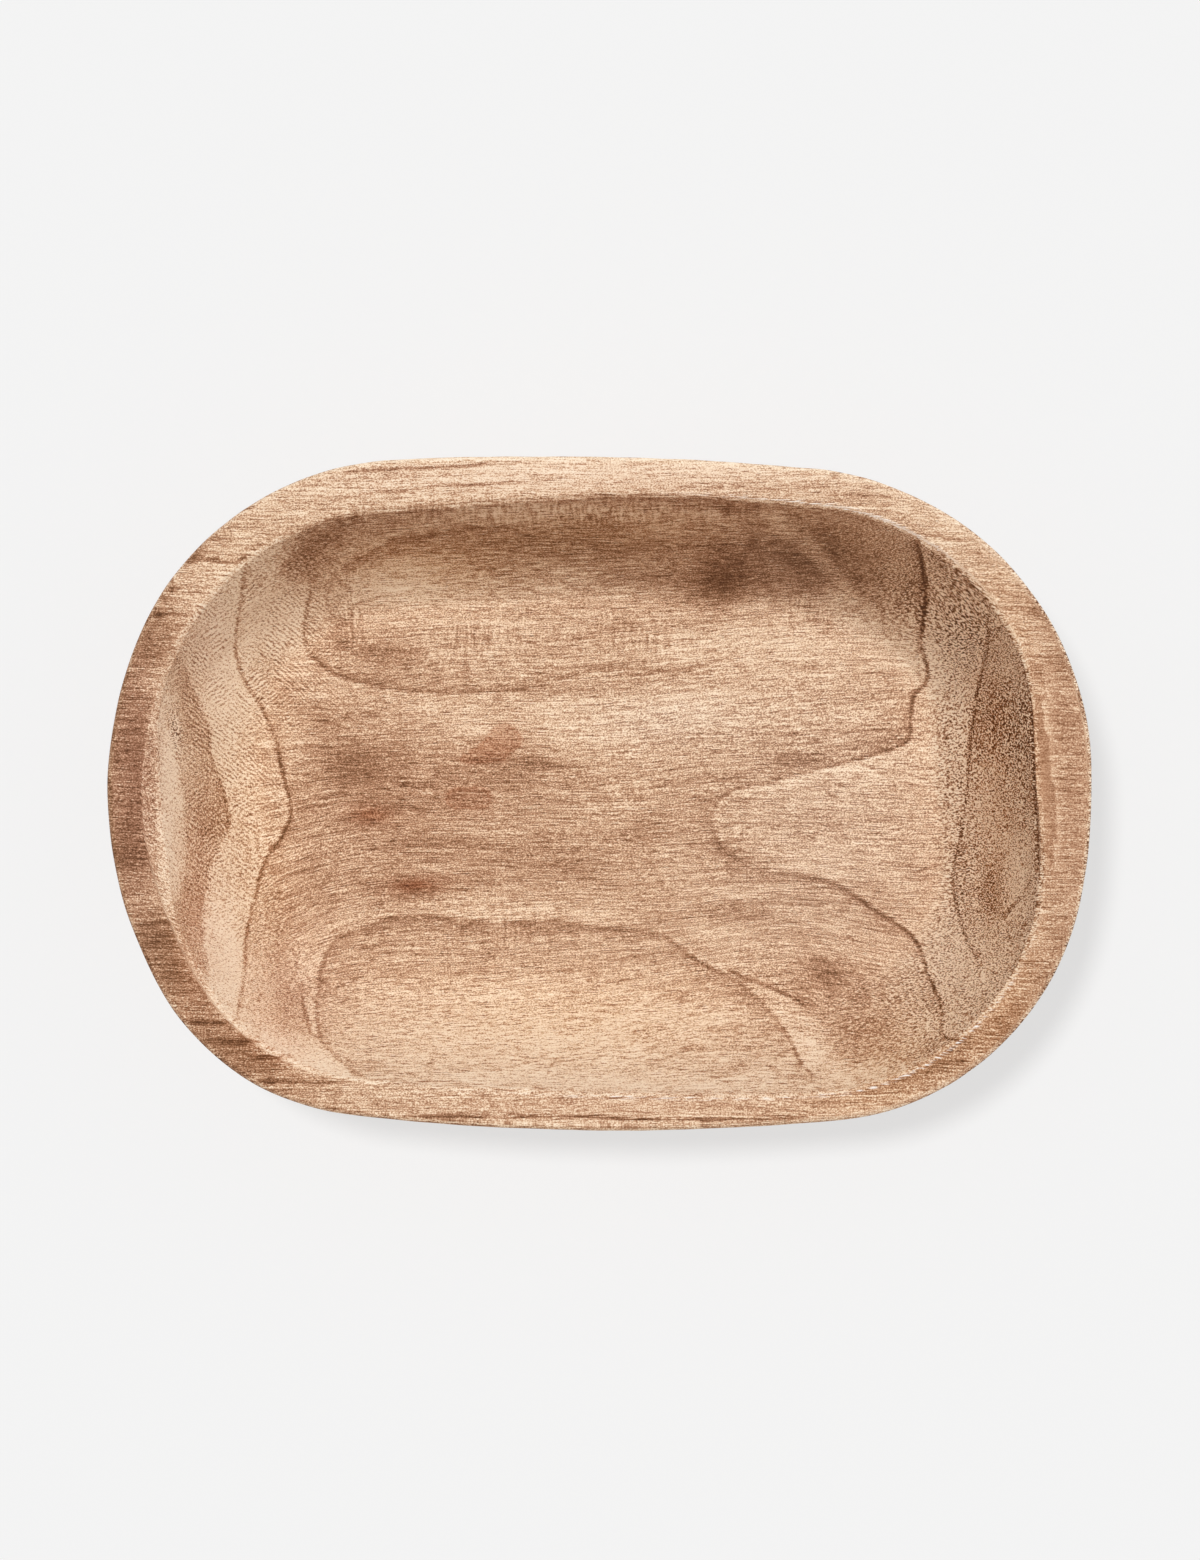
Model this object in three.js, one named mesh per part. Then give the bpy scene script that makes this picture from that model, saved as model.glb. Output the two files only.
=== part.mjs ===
// An oblong dinner bowl carved by hand from one block of pale open-grained wood.
// Millimetres, +Z up. The bowl rests on z = 0 with the middle of its rim over the origin.
// Seen from above, right is +X and far is +Y.

import * as THREE from 'three';

// The whole bowl
const LENGTH = 365; // rim, end to end
const WIDTH = 250; // rim, side to side
const HEIGHT = 70; // table to rim

// The rim seen from above: each side is a shallow arc, with its crown set off from the middle line
const RIGHT_BOW_RADIUS = 232;
const RIGHT_CROWN_Y = 4;
const FAR_BOW_RADIUS = 1080;
const FAR_CROWN_X = -21;
const LEFT_BOW_RADIUS = 148;
const LEFT_CROWN_Y = 1;
const NEAR_BOW_RADIUS = 894;
const NEAR_CROWN_X = 8;

// The four corners round off one side into the next
const FAR_RIGHT_CORNER_RADIUS = 114;
const FAR_LEFT_CORNER_RADIUS = 108;
const NEAR_LEFT_CORNER_RADIUS = 92;
const NEAR_RIGHT_CORNER_RADIUS = 102;
const TIGHTEST_TO_SIDE = 0.95; // a corner's largest share of the radius of a side that it joins

// The top of the rim, which the carver left wider at both ends and at the far left, and narrower at
// the near right. Each such place has its middle and its spread in degrees round from +X.
const RIM_WIDTH = 13.9;
const RIGHT_END_EXTRA_WIDTH = 6.8;
const RIGHT_END_AT = 4;
const RIGHT_END_SPREAD = 13;
const FAR_LEFT_EXTRA_WIDTH = 4.5;
const FAR_LEFT_AT = 125;
const FAR_LEFT_SPREAD = 26;
const LEFT_END_EXTRA_WIDTH = 3.4;
const LEFT_END_AT = 188;
const LEFT_END_SPREAD = 19;
const NEAR_RIGHT_LOST_WIDTH = 3;
const NEAR_RIGHT_AT = 306;
const NEAR_RIGHT_SPREAD = 22;
const RIM_EDGE_RADIUS = 2; // rounding of the rim's outer edge

// The outside wall leans out from the flat base and ends upright under the rim
const BASE_INSET = 46; // base edge inside the rim's outer edge
const WALL_CURVE = 2; // power of the outside curve
const GROUND = 0; // height of the base

// The hollow
const FLOOR_THICKNESS = 14; // wood under the deepest point
const FLOOR_DISH = 4; // rise of the floor's gentle dish from its middle to the rim
const HOLLOW_WALL_RUN = 36; // width of the hollow's sloping wall, seen from above
const HOLLOW_WALL_CURVE = 1.6; // power of the hollow's wall

// Facets
const AROUND = 120;
const OUTSIDE_STEPS = 10;
const EDGE_STEPS = 4;
const HOLLOW_STEPS = 12;
const FLOOR_STEPS = 5;

// Sides in order round the bowl, each an arc with its centre on the line through its crown
const SIDES = [
  { radius: RIGHT_BOW_RADIUS, x: LENGTH / 2 - RIGHT_BOW_RADIUS, y: RIGHT_CROWN_Y },
  { radius: FAR_BOW_RADIUS, x: FAR_CROWN_X, y: WIDTH / 2 - FAR_BOW_RADIUS },
  { radius: LEFT_BOW_RADIUS, x: LEFT_BOW_RADIUS - LENGTH / 2, y: LEFT_CROWN_Y },
  { radius: NEAR_BOW_RADIUS, x: NEAR_CROWN_X, y: NEAR_BOW_RADIUS - WIDTH / 2 },
];

// Each corner follows the side of the same place in the list
const CORNER_RADII = [
  FAR_RIGHT_CORNER_RADIUS,
  FAR_LEFT_CORNER_RADIUS,
  NEAR_LEFT_CORNER_RADIUS,
  NEAR_RIGHT_CORNER_RADIUS,
];

const RIM_CHANGES = [
  { extra: RIGHT_END_EXTRA_WIDTH, at: RIGHT_END_AT, spread: RIGHT_END_SPREAD },
  { extra: FAR_LEFT_EXTRA_WIDTH, at: FAR_LEFT_AT, spread: FAR_LEFT_SPREAD },
  { extra: LEFT_END_EXTRA_WIDTH, at: LEFT_END_AT, spread: LEFT_END_SPREAD },
  { extra: -NEAR_RIGHT_LOST_WIDTH, at: NEAR_RIGHT_AT, spread: NEAR_RIGHT_SPREAD },
];

// The corner arc that touches two sides from inside: its centre is as far from each side's centre
// as that side's radius is greater than the corner's
function cornerBetween(before, after, wantedRadius) {
  const radius = Math.min(wantedRadius, TIGHTEST_TO_SIDE * Math.min(before.radius, after.radius));
  const reachBefore = before.radius - radius;
  const reachAfter = after.radius - radius;
  const dx = after.x - before.x;
  const dy = after.y - before.y;
  const apart = Math.hypot(dx, dy);
  const along = (apart ** 2 + reachBefore ** 2 - reachAfter ** 2) / (2 * apart);
  const aside = Math.sqrt(Math.max(reachBefore ** 2 - along ** 2, 0));
  return {
    radius,
    x: before.x + (along * dx - aside * dy) / apart,
    y: before.y + (along * dy + aside * dx) / apart,
  };
}

// The eight arcs of the rim, each with the directions at which it starts and ends
function rimArcs() {
  const sideAfter = (i) => SIDES[(i + 1) % SIDES.length];
  const corners = SIDES.map((side, i) => cornerBetween(side, sideAfter(i), CORNER_RADII[i]));
  const direction = (from, to) => Math.atan2(to.y - from.y, to.x - from.x);
  return SIDES.flatMap((side, i) => {
    const cornerBefore = corners[(i + SIDES.length - 1) % SIDES.length];
    const corner = corners[i];
    return [
      { ...side, start: direction(side, cornerBefore), end: direction(side, corner) },
      { ...corner, start: direction(side, corner), end: direction(sideAfter(i), corner) },
    ];
  });
}

// Points spaced evenly along the rim's outer edge, each with the outward direction there
function rimOutline() {
  const fullTurn = 2 * Math.PI;
  const arcs = rimArcs().map((arc) => {
    const sweep = (arc.end - arc.start + fullTurn) % fullTurn;
    return { ...arc, sweep, length: sweep * arc.radius };
  });
  const total = arcs.reduce((sum, arc) => sum + arc.length, 0);
  return Array.from({ length: AROUND }, (_, i) => {
    let travelled = (total * i) / AROUND;
    const arc = arcs.find((candidate) => {
      const inside = travelled < candidate.length;
      if (!inside) travelled -= candidate.length;
      return inside;
    });
    const angle = arc.start + travelled / arc.radius;
    const outward = new THREE.Vector2(Math.cos(angle), Math.sin(angle));
    const point = new THREE.Vector2(arc.x, arc.y).addScaledVector(outward, arc.radius);
    return { point, outward };
  });
}

// A bell: 1 in one direction round the bowl, fading away on both sides of it
function swelling(point, { at, spread }) {
  const turn = Math.atan2(point.y, point.x) - THREE.MathUtils.degToRad(at);
  const away = Math.acos(Math.cos(turn)); // the shorter way round
  return Math.exp(-((away / THREE.MathUtils.degToRad(spread)) ** 2));
}

const rimWidth = (point) =>
  RIM_CHANGES.reduce((width, change) => width + change.extra * swelling(point, change), RIM_WIDTH);

const inset = ({ point, outward }, distance) => point.clone().addScaledVector(outward, -distance);

// One column of the surface, from the base edge up the outside, over the rim and down to the floor
function column(station) {
  const places = [];
  const add = (flat, z) => places.push(new THREE.Vector3(flat.x, flat.y, z));

  const wallTop = HEIGHT - RIM_EDGE_RADIUS;
  for (let i = 0; i < OUTSIDE_STEPS; i += 1) {
    const rise = i / OUTSIDE_STEPS;
    add(inset(station, BASE_INSET * (1 - rise) ** WALL_CURVE), GROUND + (wallTop - GROUND) * rise);
  }
  for (let i = 0; i <= EDGE_STEPS; i += 1) {
    const turn = (Math.PI / 2) * (i / EDGE_STEPS);
    const across = RIM_EDGE_RADIUS * (1 - Math.cos(turn));
    add(inset(station, across), wallTop + RIM_EDGE_RADIUS * Math.sin(turn));
  }

  const brim = rimWidth(station.point);
  const hollowEdge = inset(station, brim).length();
  const wallDepth = HEIGHT - FLOOR_THICKNESS - FLOOR_DISH;
  const dish = (flat) => FLOOR_THICKNESS + FLOOR_DISH * (flat.length() / hollowEdge) ** 2;
  for (let i = 0; i <= HOLLOW_STEPS; i += 1) {
    const across = i / HOLLOW_STEPS;
    const flat = inset(station, brim + HOLLOW_WALL_RUN * across);
    add(flat, dish(flat) + wallDepth * (1 - across) ** HOLLOW_WALL_CURVE);
  }
  const floorEdge = inset(station, brim + HOLLOW_WALL_RUN);
  for (let i = 1; i < FLOOR_STEPS; i += 1) {
    const flat = floorEdge.clone().multiplyScalar(1 - i / FLOOR_STEPS);
    add(flat, dish(flat));
  }
  return places;
}

// The closed skin: columns side by side, with the flat base and the floor's middle each closed to a point
function bowlGeometry() {
  const columns = rimOutline().map(column);
  const tall = columns[0].length;
  const middles = [GROUND, FLOOR_THICKNESS].map((z) => new THREE.Vector3(0, 0, z));
  const points = [...columns.flat(), ...middles];
  const baseMiddle = AROUND * tall;
  const floorMiddle = baseMiddle + 1;
  const faces = [];
  for (let i = 0; i < AROUND; i += 1) {
    const here = i * tall;
    const next = ((i + 1) % AROUND) * tall;
    faces.push(baseMiddle, next, here);
    for (let k = 0; k < tall - 1; k += 1) {
      faces.push(here + k, next + k, next + k + 1);
      faces.push(here + k, next + k + 1, here + k + 1);
    }
    faces.push(here + tall - 1, next + tall - 1, floorMiddle);
  }
  const geometry = new THREE.BufferGeometry().setFromPoints(points);
  geometry.setIndex(faces);
  geometry.computeVertexNormals();
  return geometry;
}

const paleWood = new THREE.MeshStandardMaterial({ color: 0xcda27a, roughness: 0.65, metalness: 0 });

const bowl = new THREE.Mesh(bowlGeometry(), paleWood);
bowl.name = 'bowl';

const object = new THREE.Group();
object.name = 'dinner_bowl';
object.add(bowl);

export default object;
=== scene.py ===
"""An oblong dinner bowl carved by hand from one block of pale paulownia, seen from straight above.

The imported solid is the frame. One finely worked surface stands for it: the same rim and hollow, with
the carver's unevenness, the growth rings that the hollow cuts through, and the open-pored wood itself.
Shapes are worked out in millimetres and put into the mesh in metres.
"""

import math

import bpy
import numpy as np
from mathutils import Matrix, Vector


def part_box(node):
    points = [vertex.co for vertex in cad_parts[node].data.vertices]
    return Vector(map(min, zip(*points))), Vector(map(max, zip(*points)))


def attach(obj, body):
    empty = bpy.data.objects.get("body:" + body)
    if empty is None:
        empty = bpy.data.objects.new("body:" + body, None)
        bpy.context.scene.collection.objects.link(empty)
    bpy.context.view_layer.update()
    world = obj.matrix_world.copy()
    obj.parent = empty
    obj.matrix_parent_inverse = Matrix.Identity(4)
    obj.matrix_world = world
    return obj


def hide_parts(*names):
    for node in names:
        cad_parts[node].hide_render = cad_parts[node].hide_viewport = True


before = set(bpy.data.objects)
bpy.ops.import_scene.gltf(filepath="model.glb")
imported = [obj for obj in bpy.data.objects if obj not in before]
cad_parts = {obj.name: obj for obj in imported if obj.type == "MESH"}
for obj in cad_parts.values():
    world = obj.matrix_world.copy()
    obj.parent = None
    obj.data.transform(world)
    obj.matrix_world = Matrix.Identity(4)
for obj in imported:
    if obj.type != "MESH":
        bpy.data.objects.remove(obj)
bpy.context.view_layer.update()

MM = 0.001
FULL_TURN = 2 * math.pi
low, high = (np.array(corner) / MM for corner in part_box("bowl"))
LENGTH, WIDTH, HEIGHT = high - low

# The rim from above: each side is a shallow arc with its crown set off from the middle line.
# Right is +X and far is +Y, and the order runs round from the right end.
SIDE_RADII = np.array([232.0, 1080.0, 148.0, 894.0])
SIDE_CENTRES = np.array([
    [LENGTH / 2 - SIDE_RADII[0], 4.0],
    [-21.0, WIDTH / 2 - SIDE_RADII[1]],
    [SIDE_RADII[2] - LENGTH / 2, 1.0],
    [8.0, SIDE_RADII[3] - WIDTH / 2],
])
CORNER_RADII = np.array([114.0, 108.0, 92.0, 102.0])

# A list of bells round the bowl, here and below, gives each one's direction and spread, both in degrees
# round from +X, and its amount.
RIM_WIDTH = 13.9
RIM_EXTRA_WIDTH = [(4, 13, 6.8), (125, 26, 4.5), (188, 19, 3.4), (306, 22, -3.0)]
RIM_SLOPE = [(4, 13, 0.2)]  # how steeply the rim falls, beyond its plain width, at the right end
RIM_EDGE_RADIUS = 2.0  # rounding of the rim's outer edge
LIP_WIDTH = 0.9  # the narrow chamfer between rim and hollow
LIP_WORN_WIDTH = [(184, 14, 3.1)]  # what wear has added to it at the left end
BASE_INSET = 46.0
WALL_CURVE = 2.0
FLOOR_THICKNESS = 14.0
FLOOR_DISH = 4.0
HOLLOW_RUN = 36.0
HOLLOW_CURVE = 1.6

# The photograph's frame, in its own pixels, and where the bowl's middle is in it
FRAME_HIGH_PX = 1560
BOWL_LONG_PX = 985
BOWL_MIDDLE_PX = np.array([599.7, 793.3])
FRAME_MIDDLE_PX = np.array([600.0, 780.0])
MM_PER_PX = LENGTH / BOWL_LONG_PX
CAMERA_ABOVE_RIM = 1900.0
CAMERA_X, CAMERA_Y = (FRAME_MIDDLE_PX - BOWL_MIDDLE_PX) * MM_PER_PX * [1, -1]
SENSOR = 36.0
NEAREST_SEEN, FARTHEST_SEEN = 50.0, 50000.0

# Rows of the surface, by stretch, from the middle of the base to the middle of the floor
AROUND = 560
BASE_ROWS = 4
OUTSIDE_ROWS = 18
EDGE_ROWS = 6
RIM_ROWS = 14
LIP_ROWS = 6
WALL_ROWS = 60
FLOOR_ROWS = 56
RIM_FROM_ROW = BASE_ROWS + OUTSIDE_ROWS + EDGE_ROWS
LIP_FROM_ROW = RIM_FROM_ROW + RIM_ROWS
WALL_FROM_ROW = LIP_FROM_ROW + LIP_ROWS
WALL_CROWDING = 1.25  # power that draws the wall's rows up towards the lip


def swelling(away, spread):
    """A bell: 1 where away is 0, falling off as the square of away over spread."""
    return np.exp(-((away / spread) ** 2))


def bells_round(points, bells):
    """The sum of bells round the bowl, each by how far round from its direction a point lies, in degrees,
    seen from the bowl's middle."""
    degrees = np.degrees(np.arctan2(points[..., 1], points[..., 0]))
    return sum(amount * swelling((degrees - at + 180) % 360 - 180, spread) for at, spread, amount in bells)


def waves(places, wavelength, seed, count=9, shortest=0.7, longest=1.4):
    """Gentle random hills of about unit height: the sum of count sine waves that cross in set random
    directions, over the root of half their count. Each one's length is a random share of wavelength."""
    draw = np.random.default_rng(seed)
    ways = draw.normal(size=(count, places.shape[-1]))
    ways /= np.linalg.norm(ways, axis=1, keepdims=True)
    lengths = wavelength * draw.uniform(shortest, longest, count)
    starts = draw.uniform(0, FULL_TURN, count)
    turns = places @ (FULL_TURN * ways / lengths[:, None]).T + starts
    return np.sin(turns).sum(-1) * math.sqrt(2 / count)


def rim_outline(count):
    """Points spaced evenly along the rim's outer edge and the outward direction at each. A corner arc
    touches two sides from inside, so its centre is as far from each side's centre as their radii differ."""
    after = np.roll(SIDE_CENTRES, -1, axis=0)
    between = after - SIDE_CENTRES
    apart = np.linalg.norm(between, axis=1)
    reach = SIDE_RADII - CORNER_RADII
    reach_after = np.roll(SIDE_RADII, -1) - CORNER_RADII
    along = (apart**2 + reach**2 - reach_after**2) / (2 * apart)
    aside = np.sqrt(reach**2 - along**2)
    unit = between / apart[:, None]
    left_of = np.stack([-unit[:, 1], unit[:, 0]], axis=1)
    corners = SIDE_CENTRES + along[:, None] * unit + aside[:, None] * left_of

    facing = lambda start, end: np.arctan2(*(end - start).T[::-1])
    side_ends = facing(SIDE_CENTRES, corners)
    side_starts = facing(SIDE_CENTRES, np.roll(corners, 1, axis=0))
    corner_ends = np.roll(side_starts, -1)
    centres = np.stack([SIDE_CENTRES, corners], axis=1).reshape(-1, 2)
    radii = np.stack([SIDE_RADII, CORNER_RADII], axis=1).ravel()
    starts = np.stack([side_starts, side_ends], axis=1).ravel()
    sweeps = np.stack([side_ends - side_starts, corner_ends - side_ends], axis=1).ravel() % FULL_TURN

    ends = np.cumsum(sweeps * radii)
    travelled = np.arange(count) * ends[-1] / count
    arc = np.searchsorted(ends, travelled, side="right")
    angle = starts[arc] + (travelled - (ends - sweeps * radii)[arc]) / radii[arc]
    outward = np.stack([np.cos(angle), np.sin(angle)], axis=1)
    return centres[arc] + radii[arc][:, None] * outward, outward


def steps(start, end, count):
    """Even steps from start towards end, as a column, with the end left for the next stretch."""
    return start + (end - start) * np.arange(count)[:, None] / count


def bowl_surface():
    """The bowl's skin as a grid of places, rows by AROUND, running from the middle of the base out, up the
    outside, over the rim and down to the middle of the floor. Each row is the rim's outline set in by a
    distance or drawn in towards the middle, at that row's height. Outside, the distance shrinks as a power
    of the height left. Over the edge it is a quarter circle. The rim is level, but falls off at a steady
    slope beyond its plain width where it has one. In the hollow, height is a power of the wall's run left
    plus a shallow dish, and the lip between rim and wall is a narrow chamfer."""
    edge, outward = rim_outline(AROUND)
    inset = lambda distance: edge - distance[..., None] * outward
    brim = RIM_WIDTH + bells_round(edge, RIM_EXTRA_WIDTH)
    lip = LIP_WIDTH + bells_round(edge, LIP_WORN_WIDTH)
    level = np.ones(AROUND)

    base_share = steps(0, 1, BASE_ROWS + 1)[1:]
    base = (base_share[..., None] * inset(BASE_INSET * level), 0 * base_share * level)

    wall_top = HEIGHT - RIM_EDGE_RADIUS
    rise = steps(0, 1, OUTSIDE_ROWS)
    outside = (inset(BASE_INSET * (1 - rise) ** WALL_CURVE * level), wall_top * rise * level)

    turn = steps(0, FULL_TURN / 4, EDGE_ROWS)
    rounding = (inset(RIM_EDGE_RADIUS * (1 - np.cos(turn)) * level),
                wall_top + RIM_EDGE_RADIUS * np.sin(turn) * level)

    slope = bells_round(edge, RIM_SLOPE)
    rim_height = lambda distance: HEIGHT - slope * np.maximum(distance - RIM_WIDTH, 0)
    rim_inset = RIM_EDGE_RADIUS + steps(0, 1, RIM_ROWS) * (brim - lip - RIM_EDGE_RADIUS)
    rim = (inset(rim_inset), rim_height(rim_inset))

    hollow_reach = np.linalg.norm(inset(brim), axis=-1)
    dish = lambda flat: FLOOR_THICKNESS + FLOOR_DISH * (np.linalg.norm(flat, axis=-1) / hollow_reach) ** 2
    depth = HEIGHT - FLOOR_THICKNESS - FLOOR_DISH
    wall_start = lip / HOLLOW_RUN / 2
    across = wall_start + (1 - wall_start) * steps(0, 1, WALL_ROWS) ** WALL_CROWDING
    wall_flat = inset(brim + HOLLOW_RUN * across)
    wall = (wall_flat, dish(wall_flat) + depth * (1 - across) ** HOLLOW_CURVE)

    bend = steps(0, 1, LIP_ROWS)
    lip_inset = brim - lip + (lip + HOLLOW_RUN * wall_start) * bend
    rim_end, wall_end = rim_height(brim - lip), wall[1][0]
    brink = (inset(lip_inset), rim_end + (wall_end - rim_end) * bend)

    floor_flat = steps(1, 0, FLOOR_ROWS)[..., None] * inset(brim + HOLLOW_RUN)
    floor = (floor_flat, dish(floor_flat))

    stretches = [base, outside, rounding, rim, brink, wall, floor]
    flat = np.concatenate([stretch[0] for stretch in stretches])
    height = np.concatenate([stretch[1] for stretch in stretches])
    return np.concatenate([flat, height[..., None]], axis=-1)


def outward_of(grid):
    """The unit outward direction at each place of the grid: the way round crossed with the way along."""
    way_round = np.roll(grid, -1, axis=1) - np.roll(grid, 1, axis=1)
    way_along = np.gradient(grid, axis=0)
    out = np.cross(way_round, way_along)
    return out / np.linalg.norm(out, axis=-1, keepdims=True)


def smooth_line(points, per_span=14):
    """A curve through given points: on each span, the cubic whose slope at a point is half the step
    between its neighbours."""
    points = np.array(points, float)
    padded = np.concatenate([2 * points[:1] - points[1:2], points, 2 * points[-1:] - points[-2:-1]])
    before, start, end, after = padded[:-3, None], padded[1:-2, None], padded[2:-1, None], padded[3:, None]
    t = np.linspace(0, 1, per_span, endpoint=False)[None, :, None]
    curve = 0.5 * (2 * start + (end - before) * t + (2 * before - 5 * start + 4 * end - after) * t**2
                   + (3 * start - before - 3 * end + after) * t**3)
    return np.concatenate([curve.reshape(-1, 2), points[-1:]])


def side_of(places, line):
    """How far each place lies to the left of a curve, in mm, negative on its right, by the curve's nearest
    point, and how far along the curve that point is, from 0 to 1."""
    curve = smooth_line(line)
    gaps = (places[:, None, 0] - curve[None, :, 0]) ** 2 + (places[:, None, 1] - curve[None, :, 1]) ** 2
    nearest = gaps.argmin(1)
    way = np.gradient(curve, axis=0)[nearest]
    away = places - curve[nearest]
    left = np.sign(way[:, 0] * away[:, 1] - way[:, 1] * away[:, 0])
    return left * np.sqrt(gaps[np.arange(len(places)), nearest]), nearest / (len(curve) - 1)


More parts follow.
